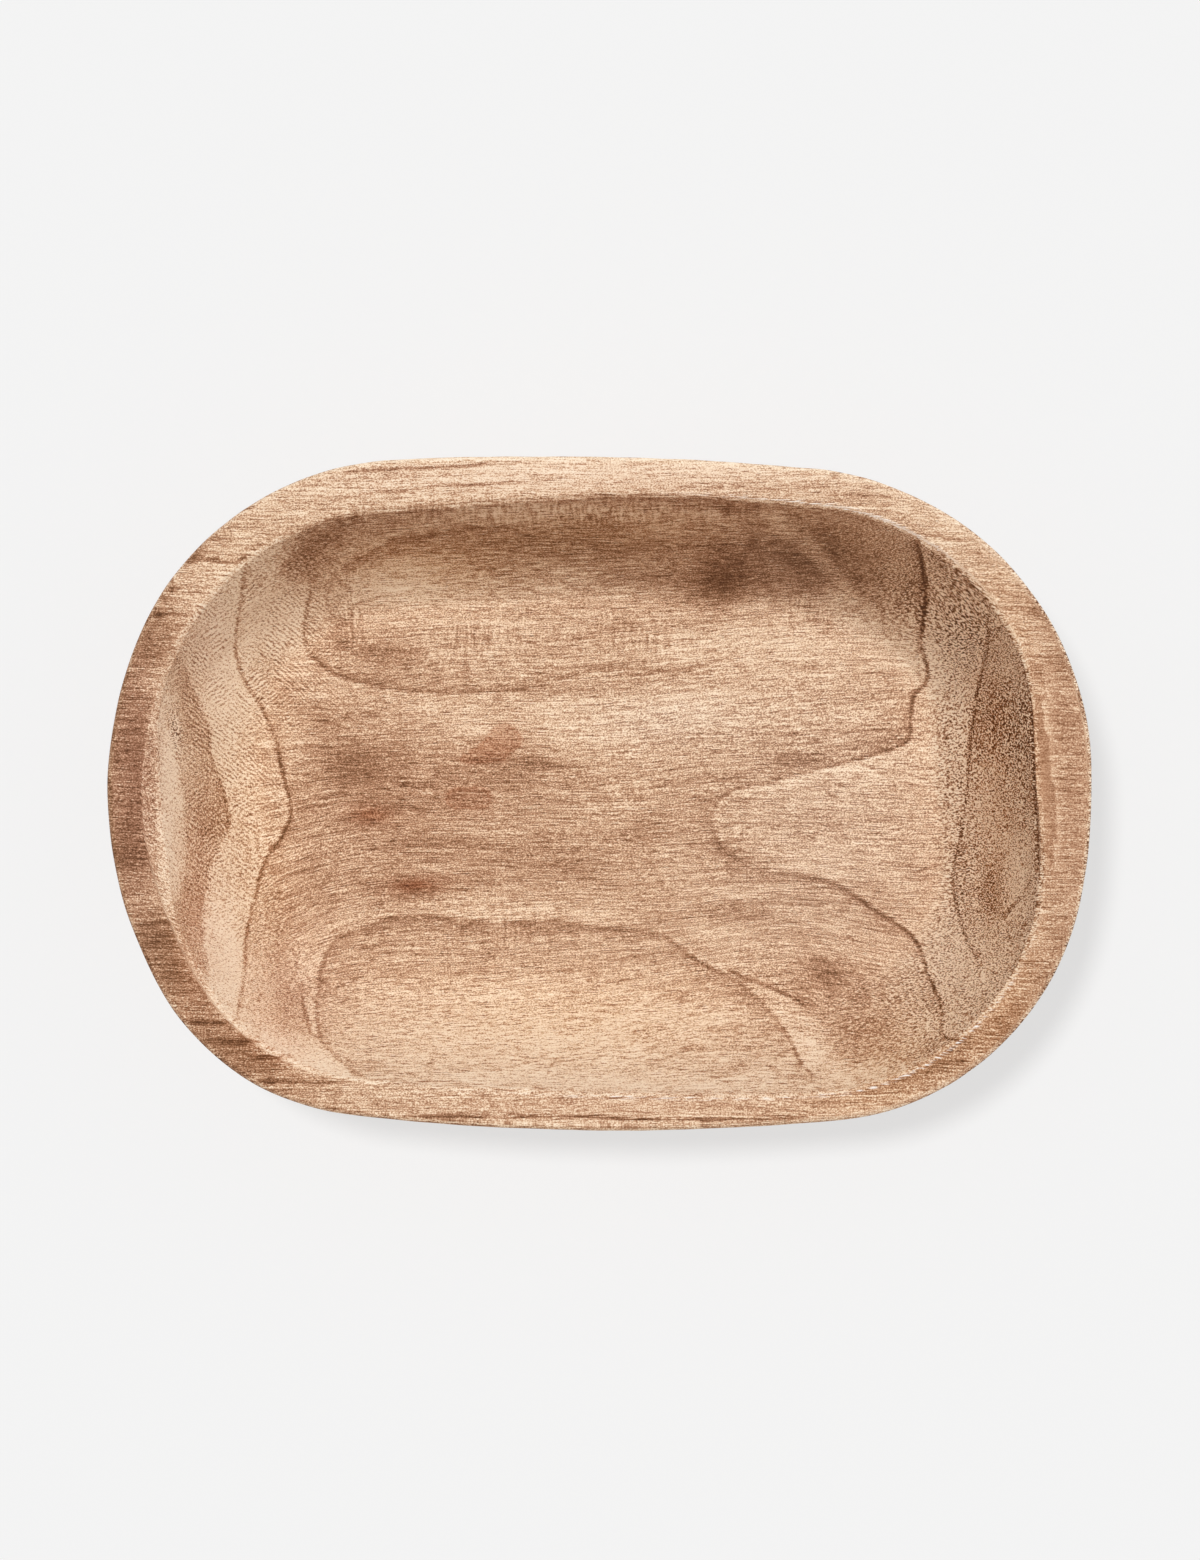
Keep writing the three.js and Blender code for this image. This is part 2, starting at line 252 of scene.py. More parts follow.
# Growth rings, and other lines in the wood, where rim and hollow cut through them, as seen from above on
# the plane of the rim, in mm. Each runs with its paler side on the left. line is how dark it is, at even
# shares of its length, paler and darker are how much the wood changes beside it and over how many mm that
# dies away, and fade is the share of its length over which all this fades out at its two ends.
RING_LINES = [
    # The left wall, from its foot up
    dict(line=[0.24, 0.3, 0.38, 0.36, 0.36, 0.4], paler=(0.09, 6), darker=(0.07, 8), fade=0.02, points=[
        (-135, -86), (-133, -77), (-131, -64), (-130, -51), (-127, -36), (-123, -24), (-118, -17),
        (-114, -7), (-117, 7), (-120, 21), (-125, 32), (-131, 41), (-134, 51), (-134, 64), (-132, 79),
        (-131, 87), (-135, 86)]),
    dict(line=[0.15, 0.2, 0.15, 0.1], paler=(0.09, 7), darker=(0.13, 9), fade=0.12, points=[
        (-157, 54), (-152, 42), (-149, 33.8), (-145.5, 24), (-144.5, 16), (-141.5, 7), (-139, 0),
        (-137.5, -9), (-138.5, -14), (-144, -24), (-146, -34), (-147, -48), (-146.5, -60), (-145.5, -70),
        (-145, -84)]),
    dict(line=[0.08], paler=(0.1, 6), darker=(0.09, 6), fade=0.15, points=[
        (-157, -45), (-155, -36), (-153, -21), (-154, -2), (-156, 9), (-159, 22), (-161, 35)]),
    # The far loop's near edge and far edge
    dict(line=[0.1, 0.2, 0.25, 0.3, 0.25], paler=(0.06, 8), darker=(0.09, 9), fade=0.12, points=[
        (74, 58), (52, 52), (30, 46), (0, 46), (-15, 43), (-30, 39), (-44, 38), (-63, 38), (-81, 40),
        (-96, 44), (-103.5, 48.5), (-107.5, 53), (-109, 59), (-108, 68), (-106, 77), (-103, 85)]),
    dict(line=[0.1, 0.15, 0.1], paler=(0.12, 4), darker=(0.15, 5), fade=0.2, points=[
        (-103, 70), (-101, 77), (-96, 83), (-86, 89.5), (-73, 94.5), (-59, 97), (-44, 98.5), (-15, 99),
        (20, 98)]),
    # The near loop, and a short line beside its left end
    dict(line=[0.2, 0.25, 0.2, 0.18, 0.2, 0.3, 0.15, 0.32],
         paler=(0.08, 7), darker=(0.13, 9), fade=0.02, points=[
        (-85, -107), (-94, -100), (-102, -93), (-104, -84), (-104, -73), (-102, -63), (-98, -55),
        (-87, -50), (-73, -46), (-61, -46), (-38, -48), (-16, -48), (-2, -50), (16, -52), (25, -54),
        (34, -61), (43, -66), (51, -70), (58, -76), (65, -84), (70, -91), (75, -101), (81, -106)]),
    dict(line=[0.2], paler=(0.0, 3), darker=(0.08, 3), fade=0.3, points=[
        (-110, -67), (-110, -77), (-108, -86), (-104, -94)]),
    # From the far right lip in to the middle of the floor and out to the near right
    dict(line=[0.3, 0.6, 0.45, 0.35, 0.2, 0.12, 0.18, 0.35, 0.5, 0.5],
         paler=(0.05, 7), darker=(0.14, 9), fade=0.02, points=[
        (129, 96), (118, 95), (119, 86), (120, 77), (120, 70), (119, 56), (121, 43), (116, 36), (115, 27),
        (113, 19), (99, 14), (80, 9), (61, 4), (51, 2), (44, -2), (41, -10), (43, -16), (47, -22),
        (61, -29), (75, -31), (85, -33), (94, -38), (104, -45), (113, -51), (118, -57), (122, -69),
        (126, -78), (127, -90), (139, -92)]),
    # The right wall: a ring, a scratch, and above it a painted highlight along the bevel's outer edge, with
    # painted shade on the bevel
    dict(line=[0.3, 0.35, 0.3, 0.4, 0.55], paler=(0.06, 7), darker=(0.13, 10), fade=0.08, points=[
        (142, -67), (140, -61), (136, -53), (132, -41), (131, -31), (134, -14), (136, 0), (137.8, 18),
        (140, 34), (142.3, 46), (144, 57), (143, 68)]),
    dict(line=[0.35], paler=(0.08, 2), darker=(0.0, 3), fade=0.1, points=[
        (160.5, -31), (155, -39), (148, -47)]),
    dict(line=[0.0], paler=(0.2, 1.5), darker=(0.14, 6), fade=0.15, points=[
        (163, 38), (164.5, 30), (167, 12), (168.7, -3), (169, -17), (167.5, -32)]),
    # A branch of the near loop
    dict(line=[0.25, 0.35, 0.35], paler=(0.05, 6), darker=(0.08, 8), fade=0.15, points=[
        (77, -78.5), (70, -74.7), (60.5, -70.7), (51, -67), (46, -63)]),
    # Two soft arcs at the right of the far wall
    dict(line=[0.0], paler=(0.03, 5), darker=(0.11, 7), fade=0.3, points=[
        (58, 101), (62, 98), (68, 94), (74, 90.5), (79, 86.5), (82.5, 82), (86, 77.5), (90, 73)]),
    dict(line=[0.04], paler=(0.05, 4), darker=(0.18, 6), fade=0.25, points=[
        (107, 60), (103, 66), (99, 72), (95, 76), (91, 80.5), (88, 85), (83.5, 90), (80, 94.5),
        (76.5, 98.5)]),
    # The rim: far right, far left, two on the far side, one on the near side, and five at the near left
    dict(line=[0.25], paler=(0.0, 2), darker=(0.0, 2), fade=0.25, points=[
        (134, 94.5), (128, 95.2), (123, 96), (118.5, 95.5)]),
    dict(line=[0.3, 0.3, 0.15], paler=(0.05, 2), darker=(0.03, 3), fade=0.1, points=[
        (-132, 85), (-138, 86), (-148, 87), (-153, 85)]),
    dict(line=[0.3, 0.4, 0.2], paler=(0.0, 3), darker=(0.0, 3), fade=0.3, points=[
        (-105, 118), (-96, 119), (-77, 120), (-68, 120), (-51, 121), (-38, 122), (-17, 122)]),
    dict(line=[0.2, 0.3, 0.2], paler=(0.0, 3), darker=(0.0, 3), fade=0.3, points=[
        (-99, 109), (-86, 111), (-70, 112), (-60, 114), (-47, 114), (-34, 115), (-18, 116), (-11, 118)]),
    dict(line=[0.4], paler=(0.0, 3), darker=(0.03, 3), fade=0.1, points=[
        (-100, -117), (-94, -119), (-71, -120), (-47, -120), (-11, -120), (16, -121), (61, -121),
        (80, -120)]),
    dict(line=[0.2], paler=(0.0, 4), darker=(0.1, 6), fade=0.15, points=[
        (-174, -49.5), (-165, -48.5), (-157, -48)]),
    dict(line=[0.35], paler=(0.0, 2), darker=(0.05, 3), fade=0.3, points=[
        (-155, -85), (-146, -85.4), (-134, -85.2)]),
    dict(line=[0.3], paler=(0.0, 2), darker=(0.08, 3), fade=0.3, points=[
        (-142, -92), (-134, -92.3), (-125, -92)]),
    dict(line=[0.35], paler=(0.0, 2), darker=(0.0, 2), fade=0.3, points=[
        (-132, -98.8), (-122, -98.3), (-111, -98)]),
    dict(line=[0.3], paler=(0.0, 2), darker=(0.0, 2), fade=0.3, points=[
        (-133, -106.6), (-120, -107.2), (-100, -107.5), (-88, -107)]),
]
LINE_REACH = 6.0  # how far from a line its darkness counts, in mm
LINE_WIDE = 1.45  # half the width of a line, in mm
LINE_ASIDE = 0.4  # how far a line lies over to its paler side, in mm
FARTHEST_SIDE = 15.0  # distances to a line are kept up to this, in mm
# The softer, paler side of a ring lies lower: how deep, over how many mm it steps down, over how many it
# rises again, and how dark the line is where the step is whole
STEP_DEEP, STEP_WIDE, STEP_REACH, STEP_WHOLE = 0.25, 0.8, 5.0, 0.25
# Lines are ragged where fibres cross them: by how many mm for each unit of tone in the fibres, and by what
# share less on end grain
FRAYED, LESS_FRAYED_END_ON = 3.0, 0.7
# A line's darkness varies between these shares of what it says
FAINTEST_LINE, DARKEST_LINE = 0.7, 1.6

# The block's layers on the outside: their thickness, the height and length of their swell, how dark their
# lines are, and how much the shade changes beside a line and over how far that dies away, with lengths in mm
LAYER_THICK = 17.0
LAYER_SWELL, LAYER_SWELL_LONG, LAYER_SWELL_SEED = 7.0, 40.0, 5
LAYER_DRAWN_OUT = np.array([0.3, 1.0])  # shares of x and y that count: the swell is longer along the fibres
LAYER_LINE = 0.2
LAYER_SHADE, LAYER_PALER_REACH, LAYER_DARKER_REACH = 0.07, 4.0, 5.0

# A fine crack along the right end of the hollow, just under its worn edge
CRACK = [(159, 38), (160, 27), (161, 12), (161, -2), (162, -17), (163, -32)]
CRACK_WIDE = 0.5
CRACK_DEEP = 0.9
CRACK_DARK = 0.6
CRACK_FADE = 0.1


def ends_faded(along, fade):
    """1 along a line, running down to 0 over the given share of it at each end."""
    return np.clip(np.minimum(along, 1 - along) / fade, 0, 1)


def near_line(side):
    """1 near a line, running down to 0 over the outer half of its reach."""
    return np.clip(2 * (1 - np.abs(side) / LINE_REACH), 0, 1)


def ring_figure(places):
    """From the ring lines: the signed distance to the nearest one in mm, how dark that line is, the soft
    shade beside the lines, and the relief. The shade is paler on one side and darker on the other, and both
    die away as a falling power of e. The relief is a step: the softer paler side lies lower by the line."""
    nearest = np.full(len(places), np.inf)
    dark = np.zeros(len(places))
    shade = np.zeros(len(places))
    relief = np.zeros(len(places))
    for ring in RING_LINES:
        side, along = side_of(places, ring["points"])
        strength = ends_faded(along, ring["fade"])
        line = strength * np.interp(along, np.linspace(0, 1, len(ring["line"])), ring["line"])
        closer = np.abs(side) < np.abs(nearest)
        nearest = np.where(closer, side, nearest)
        dark = np.where(closer, line * near_line(side), dark)
        paler, darker = (amount * np.exp(-np.abs(side) / reach)
                         for amount, reach in (ring["paler"], ring["darker"]))
        shade += strength * np.where(side > 0, paler, -darker)
        soft_side = (1 + np.tanh(side / STEP_WIDE)) / 2 * np.exp(-np.maximum(side, 0) / STEP_REACH)
        relief -= STEP_DEEP * np.minimum(line / STEP_WHOLE, 1) * soft_side
    return nearest, dark, shade, relief


def layer_figure(places):
    """The distance, darkness and shade for the outside, where the block's layers lie about flat and wavy: a
    layer's number is the height plus a long swell along the fibres, over the layer's thickness."""
    swell = LAYER_SWELL * waves(places[:, :2] * LAYER_DRAWN_OUT, LAYER_SWELL_LONG, LAYER_SWELL_SEED)
    layer = (places[:, 2] + swell) / LAYER_THICK
    side = (layer - np.round(layer)) * LAYER_THICK
    reach = np.where(side > 0, LAYER_PALER_REACH, LAYER_DARKER_REACH)
    shade = np.where(side > 0, LAYER_SHADE, -LAYER_SHADE) * np.exp(-np.abs(side) / reach)
    return side, LAYER_LINE * near_line(side), shade


def as_seen(places):
    """Where places show on the plane of the rim when looked at from the camera's height."""
    shrink = CAMERA_ABOVE_RIM / (CAMERA_ABOVE_RIM + HEIGHT - places[:, 2:])
    return (places[:, :2] - [CAMERA_X, CAMERA_Y]) * shrink + [CAMERA_X, CAMERA_Y]


# A list of spots gives places in the wood, as seen from above, in mm: middle x and y, half-length,
# half-width, lean in degrees and amount. The first two lists make the tone paler or darker: mostly the
# wood's figure, and in the places marked below, painted light and shade.
HOLLOW_PATCHES = [
    # The left wall, pale, dark and pale in turn, and the foot of it
    (-166.5, -8, 3.5, 30, 0, -0.2), (-166, 15, 3.5, 9, 0, -0.12), (-160, -8, 5, 26, 0, 0.2),
    (-160, 36, 3.5, 9, -12, 0.14), (-159, 20, 4, 16, -10, 0.12), (-159, 48, 4, 5, 0, -0.1),
    (-155, -28, 5, 12, 0, 0.07), (-155, 6, 5, 8, 0, 0.1), (-153.5, 38, 3, 6, 0, -0.12),
    (-152, -50, 4, 16, 0, -0.07), (-150, 38, 4, 5, 0, -0.06), (-149, 23, 4, 6, 0, -0.08),
    (-146, -6, 8, 15, 0, -0.1), (-144.5, -12.5, 4, 6, 0, -0.12), (-140, 28, 7, 20, 0, 0.15),
    (-139, -51, 7, 22, 0, 0.08), (-138, 0, 20, 80, 0, 0.03), (-137, -70, 11, 14, 0, 0.12),
    (-136, -60, 4, 24, 4, 0.07), (-133, 60, 17, 22, 0, 0.2), (-131, 52, 4, 18, 0, 0.06),
    (-130, 90, 10, 6, 20, 0.15), (-125, -90, 18, 3, -36, 0.06), (-122, 84, 9, 8, 0, 0.15),
    (-120, -92, 22, 9, -40, 0.08), (-119, -85, 8, 5, 0, -0.07), (-118, -45, 5, 10, 0, -0.06),
    (-118, 40, 12, 4, -54, -0.1), (-117, -72, 5, 18, 0, -0.1), (-117, -16, 6, 6, 0, -0.05),
    (-117, 96, 6, 4, 35, 0.1), (-114, 17, 4, 9, 0, 0.1), (-112, -96, 12, 3, -22, 0.05),
    # The floor's left half, darker
    (-107, -28, 12, 22, 0, -0.1), (-101, 25, 12, 4, -30, -0.1), (-97, 46, 7, 4, 0, 0.08),
    (-93, 10, 12, 7, 0, -0.26), (-92, 28, 12, 2, 3, -0.08), (-92, 33, 24, 8, 0, -0.08),
    (-88, -9, 9, 2, 0, -0.08), (-74, -2, 33, 28, 0, -0.2), (-73, 35, 10, 2.5, 5, -0.08),
    (-69, -36, 17, 5, 0, -0.22), (-68, 33, 12, 4, -15, 0.1), (-64, 1, 6, 8, 0, 0.08),
    (-54, -12, 16, 5, 0, 0.14), (-48, 24, 10, 4, 0, 0.12), (-36, 40, 7, 4, 0, 0.08),
    (-30, 11, 20, 6, 0, -0.26), (-22, -25, 36, 9, 0, -0.12), (-22, -17, 48, 20, 0, -0.05),
    (-22, 8.5, 7, 3, 15, 0.07), (-18, 3, 35, 4, 8, -0.05), (-18, 10.5, 7, 0.9, -5, -0.25),
    (-18, 38.5, 14, 4, 0, -0.1), (-11, -23, 8, 5, 0, -0.08),
    # The near wall and the lip above it, with a painted highlight along the lip
    (-98, -101, 20, 4, -24, 0.14), (-97, -95, 8, 6, 0, 0.09), (-84, -104, 16, 4, -15, -0.1),
    (0, -106, 85, 4, 0, 0.12), (40, -108, 30, 3, 0, 0.08), (70, -97, 9, 12, -35, 0.1),
    (100, -103, 14, 4, 10, 0.13),
    # The far loop, pale, with a dark smudge to its right
    (-111, 64, 5, 7, 0, 0.05), (-111, 70, 12, 8, 0, 0.12), (-96, 66, 3.5, 18, 0, -0.1),
    (-96, 75, 4, 9, 0, 0.07), (-92, 59, 6, 5, 0, -0.06), (-85, 53, 18, 5, -8, -0.14),
    (-76, 52, 8, 7, 0, -0.12), (-76, 80, 22, 9, 5, 0.2), (-58, 74, 35, 5, 0, 0.1), (-55, 57, 8, 5, 0, 0.05),
    (-15, 79, 10, 6, 0, 0.12), (-6, 67, 6, 5, 0, 0.06), (12, 62, 14, 5, 0, -0.06), (27, 49, 9, 3, 0, 0.05),
    (33, 53, 16, 4, 4, 0.09), (37, 79, 6, 5, 0, -0.06), (38, 71, 14, 5, 0, -0.16),
    (46.5, 80, 10.5, 9, 10, -0.36), (63, 81, 5, 6, 0, -0.08), (67, 57, 26, 15, 0, 0.08),
    (69, 70, 6, 4, 0, -0.14), (76.5, 81, 5, 7, 20, -0.07), (77, 80, 9, 6, -45, -0.14),
    (82, 64, 7, 4, -35, -0.12), (87, 80, 8, 4, -25, -0.05), (89, 71, 5, 5, 0, 0.1),
    (100, 66, 8, 4, -35, 0.06), (106, 70, 5, 6, 0, 0.1), (110, 81, 7, 5, 0, 0.07),
    # The far wall: a pale band under the rim, a painted shadow in spots just under the lip, and smudges and
    # arcs at both its ends
    (-110, 87, 12, 7, 30, -0.32), (-97, 100, 12, 4, 25, -0.2), (-88, 87, 6, 5, 30, -0.08),
    (-80, 101, 12, 3, 18, -0.08), (-64, 105.5, 18, 3, 5, -0.14), (-26, 101, 14, 4, 0, 0.1),
    (0, 106, 62, 5, 0, 0.2), (4, 101, 5, 8, 0, -0.08), (20, 95, 22, 6, 0, 0.12), (21, 98.5, 7, 6, 0, 0.08),
    (30, 103, 28, 5, 0, 0.1), (39, 85, 6, 5, 0, 0.06), (40, 106.5, 20, 3, -3, -0.12),
    (43, 94, 12, 6, 0, 0.06), (45, 101, 14, 4, -10, 0.1), (50, 105, 9, 3.5, -8, -0.14),
    (65, 100, 6, 4, -40, 0.12), (67, 103, 8, 5, 0, 0.09), (74, 94, 14, 3, -40, 0.1),
    (90, 100, 10, 4, -25, 0.12), (102, 93, 8, 4, -25, 0.08), (104, 101, 12, 6, -20, 0.12),
    # The near loop, pale, with a dark smudge to its right
    (-111, -79, 6, 10, 0, -0.1), (-78, -50, 14, 9, 0, -0.08), (-38, -48.5, 14, 2.5, 0, -0.1),
    (-30, -91, 63, 15, 0, 0.12), (-22, -49.5, 28, 3, 0, -0.05), (9, -50, 8, 3, 0, -0.07),
    (31, -53, 14, 4, -25, -0.12), (42, -86, 22, 7, 0, 0.08), (54, -73, 20, 6, -35, -0.06),
    (74, -56, 9, 8, 0, -0.08), (77, -78.5, 4, 3, 0, -0.16), (78.5, -92, 14, 4.5, -50, 0.14),
    (82, -74, 6, 3.5, 0, 0.07), (83.5, -66, 8, 6, 0, -0.28), (89, -77, 18, 15, 0, -0.11),
    (97, -87, 12, 8, 0, -0.13), (102, -55, 14, 5, -30, 0.08), (111, -67, 8, 5, 0, 0.06),
    # The floor's right half, with a darker drift round the middle ring
    (11, 41, 8, 3, 0, -0.06), (15, -32, 41, 11, -8, -0.06), (15, 38.5, 45, 3, 3, -0.08),
    (18, -12, 6, 6, 0, -0.16), (20, 43, 40, 3.5, 5, -0.12), (22, -40, 30, 5, -8, -0.06),
    (30, 35, 41, 11, 8, 0.06), (45, 25, 9, 5, 0, 0.05), (46, -16, 8, 6, 0, -0.08),
    (54, -45, 14, 4, -10, -0.1), (54, -23, 16, 4, -15, -0.18), (62, 4.5, 14, 3, 12, 0.1),
    (70, 14, 11, 6, 0, -0.11), (80, 13, 12, 2.5, 15, -0.1), (86, 8, 12, 3, 15, 0.12),
    (100, -38, 14, 5, -25, -0.1), (104, 19.5, 10, 2.5, 18, -0.14), (107, 44, 9, 5, 0, -0.08),
    # The right wall, paler along its foot and at its two ends: partly the wood, partly painted light on this
    # wall, which lies in shade
    (114, 46, 5, 9, 0, 0.08), (114, 93, 12, 12, 0, 0.12), (117, 32, 4, 6, 0, -0.14),
    (117, 71, 4, 6, 0, -0.06), (119.5, 72, 1.5, 9, 0, -0.18), (121, -32, 10, 4, -30, -0.1),
    (122, -62, 10, 12, 0, 0.05), (122, 57, 18, 18, 0, 0.24), (122.5, 80, 3, 6, 0, 0.08),
    (123, 46, 4, 8, 0, 0.12), (124, 44, 8, 12, 0, 0.08), (125, -86, 10, 7, 30, 0.16),
    (125, 88, 5, 4, -40, -0.18), (126, 10, 5, 12, 0, 0.08), (130, -79, 6, 4, 40, -0.1),
    (130, 81, 12, 6, -40, 0.12), (132, -42, 6, 6, 0, 0.1), (133, -64, 8, 12, 0, 0.08),
    (133, 22, 5, 8, 0, 0.1), (134, 38, 7, 12, 0, 0.13), (135, 15, 8, 28, 0, 0.08),
    (137, -70, 14, 16, 0, 0.07), (138, -31, 4, 8, 0, 0.12), (138, 57, 8, 8, 0, -0.17),
    (141, -55, 12, 9, 0, 0.14), (143, -67, 10, 12, 0, 0.1), (143, -2, 9, 20, 0, 0.28),
    (144, 62, 4, 12, 20, 0.1), (145, -41, 4, 5, 0, -0.08), (145, -37, 4, 8, 0, -0.16),
    (146, 22, 5, 7, 0, -0.14), (147, 0, 12, 45, 0, 0.02), (148, 55, 14, 17, 0, 0.22),
    (148.5, -33, 3, 10, 0, -0.14), (149, 31, 4, 7, 0, -0.1), (153.5, 45, 3, 8, 10, 0.12),
    (154, -42, 6, 4, 30, 0.1), (154, -30, 6, 16, 0, 0.36), (157, -22, 3.5, 20, 0, 0.1),
    (159.5, 18, 2, 7, 0, -0.12), (160, 46, 3, 6, 0, -0.12),
]
RIM_PATCHES = [
    # The left end, dark and striped
    (-177, 4, 5, 14, 0, 0.13), (-175, -24, 10, 6, 0, -0.2), (-175, 12, 14, 52, 0, -0.38),
    (-175, 16, 9, 3, 0, -0.08), (-173, -10, 10, 10, 0, -0.14), (-170, 40, 6, 6, 0, 0.08),
    (-168, -44.5, 4, 3, 0, 0.08), (-167, 51, 8, 5, 0, -0.1), (-166, -44.5, 9, 4.5, 0, -0.2),
    (-164, -53.5, 10, 5, 0, -0.34), (-164, 42, 6, 6, 0, 0.1), (-163, 62, 9, 7, 0, -0.24),
    (-160, -63, 8, 7, 0, -0.26),
    # The far left, with nicks in its outer edge
    (-163.5, 66.4, 1.6, 1.4, 0, -0.5), (-161, 71.6, 1.4, 1.4, 0, -0.5), (-158.5, 75.7, 1.4, 1.4, 0, -0.5),
    (-150.5, 87.5, 4, 1.3, 40, -0.45), (-142, 98, 14, 3, 38, -0.1), (-134, 92, 10, 4, 35, 0.06),
    # The near left corner, dark and striped
    (-157, -70, 6, 6, 0, -0.16), (-151, -79, 12, 8, -50, -0.06), (-150, -84, 28, 4, -55, -0.08),
    (-146, -91, 12, 5, 0, -0.08), (-144, -80, 12, 5, -50, -0.14), (-143, -93, 22, 12, -40, -0.15),
    (-139, -89, 6, 2.5, -10, 0.12), (-132, -95, 9, 3.5, -25, -0.18), (-128, -108, 14, 4, -35, -0.09),
    (-121, -101.5, 11, 4, -22, -0.12), (-118, -104, 16, 8, -25, -0.07),
    # The far side, pale
    (-30, 115, 25, 6, 0, 0.06), (0, 118, 96, 9, 0, 0.18), (50, 113, 75, 3.5, -2, -0.09),
    # The near side
    (-51, -118.5, 9, 3, 0, 0.06), (0, -122, 60, 3, 0, 0.05), (66, -116, 10, 4, 0, 0.08),
    (82, -114, 16, 5, 8, -0.08),
    # The right end and its two corners
    (117, -104, 18, 5, 20, -0.18), (117, 101, 12, 5, -35, 0.1), (122, 102, 7, 5, -40, 0.08),
    (130, 97, 8, 4, -40, 0.08), (134, 102, 12, 5, -38, 0.1), (137, -91, 10, 5, 40, -0.12),
    (150.5, -81.5, 4, 3, 0, 0.1), (152, -91, 10, 6, 45, -0.1), (155.5, -68, 12, 3.5, 55, -0.12),
    (156.5, -78, 18, 5, 48, -0.22), (161, 71, 6, 8, 50, -0.08), (162, 46, 3, 6, 0, -0.12),
    (163, 57, 4, 5, 0, 0.1), (167, -36, 4, 4, 0, -0.12), (167, 65, 8, 12, 0, -0.17),
    (171, -53, 7, 7, 0, -0.12), (171, 29, 6, 6, 0, -0.1), (171, 51, 5, 5, 0, -0.12),
    (174, 44, 5, 6, 0, -0.1), (175, -2, 12, 56, 0, -0.11),
]
# Stains and deeper brown wood, and a painted warm shade along the far wall under the rim
STAINS_AND_WARM_SHADE = [
    (-39, 17, 9, 5, 20, 0.25), (-85, -8, 8, 3.5, 0, 0.6), (-68, -34, 11, 3, 4, 0.7),
    (-74, -2, 33, 28, 0, 0.12), (0, 103, 110, 15, 0, 0.15), (177, 0, 10, 70, 0, 0.15),
]
# Spills with clear edges: one pointed, above two round ones
SPILLS = [
    (-35.5, 22.5, 5, 4, 0, 0.7), (-40, 18, 8, 4, 15, 0.6), (-32.5, 19, 6, 3.5, 0, 0.5),
    (-46, 13.2, 7, 2.4, 10, 0.8), (-38.8, 13.6, 6, 2.4, 0, 0.6), (-52.9, -2.1, 4.5, 4.5, 0, 1.0),
    (-44.5, -1.8, 5, 4.8, 0, 1.0),
]
# Where the wood's colour is richer or greyer
RICHNESS = [
    (148, -10, 14, 75, 0, 0.18), (10, -118, 110, 8, 0, 0.02), (-10, -86, 60, 16, 0, 0.09),
    (112, -97, 32, 16, 35, 0.1), (85, -10, 45, 55, 0, -0.06), (72, 88, 35, 14, -20, -0.07),
    (-65, 85, 35, 12, 0, 0.09), (20, 100, 50, 8, 0, 0.05), (-138, 10, 20, 80, 0, 0.05),
    (-152, -45, 7, 30, 0, 0.08), (-118, -92, 22, 12, -40, 0.08), (-128, -45, 16, 45, 0, 0.06),
    (24, 27, 30, 10, 0, -0.07),
]
# Where the wood's hue turns, in degrees of the colour circle: redder below zero, yellower above
HUE_TURNS = [
    (-172, 5, 12, 50, 0, -2.6), (-150, -45, 8, 35, 0, -2.6), (-120, -78, 18, 25, 0, -2.2),
    (0, 118, 110, 9, 0, -1.4), (147, 0, 14, 60, 0, -2.0), (-146, 56, 10, 20, 0, -1.6),
    (85, 90, 35, 14, -20, 1.6), (-10, 96, 60, 12, 0, 1.6), (-118, -93, 14, 6, -30, -1.6),
    (0, -117, 90, 7, 0, -0.8), (-139, -55, 9, 25, 0, -0.9),
]
# Where the blade has chattered across the fibres
CHATTER = [
    (-15, 104, 70, 5, 0, 1.2), (-91, 72, 5, 24, 0, 0.8), (-46, 57, 18, 8, 0, 0.8), (19, 57, 22, 15, 0, 0.5),
    (76, 68, 11, 11, 0, 0.6), (-35, -48, 22, 7, 0, 0.7),
]
# Where the blade has left ripples aslant on steep end grain
RIPPLED = [
    (-140, 10, 22, 70, 0, 1.15), (-115, 60, 24, 30, 0, 0.9), (-147, 58, 9, 18, 0, 0.6),
    (140, 10, 18, 70, 0, 0.8), (97, -80, 22, 15, 0, 0.8),
]
# Fibres rise over these places, by as many mm as the amount, and over some more in the hollow alone
LIFTS = [(60, -80, 110, 30, 0, 12), (120, 50, 110, 35, 0, 13), (70, -55, 30, 20, 0, 7)]
HOLLOW_LIFTS = [(128, 98, 24, 45, 0, 16), (128, 58, 26, 16, 0, -10), (-135, -45, 30, 40, 0, -14)]
# Pores stand wide open here
OPEN_PORES = [(155, 18, 6, 22, 0, 0.7), (134, 57, 9, 12, 0, 0.7), (-157, 23, 2, 7, 0, 1.5)]
# The grain shows less on the rim's near side and right end, and hardly at all on the worn bevel there
WORN_SMOOTH = [(20, -117, 110, 9, 0, 0.2), (176, 0, 12, 70, 0, 0.2), (164.5, 2, 4, 36, -4, 0.5)]


def spotted(places, spots):
    """The sum of spots, each a bell with its own length and width, turned by its lean."""
    total = np.zeros(len(places))
    for x, y, long, wide, lean, amount in spots:
        along = np.array([math.cos(math.radians(lean)), math.sin(math.radians(lean))])
        away = places - [x, y]
        total += amount * swelling(away @ along, long) * swelling(away @ [-along[1], along[0]], wide)
    return total


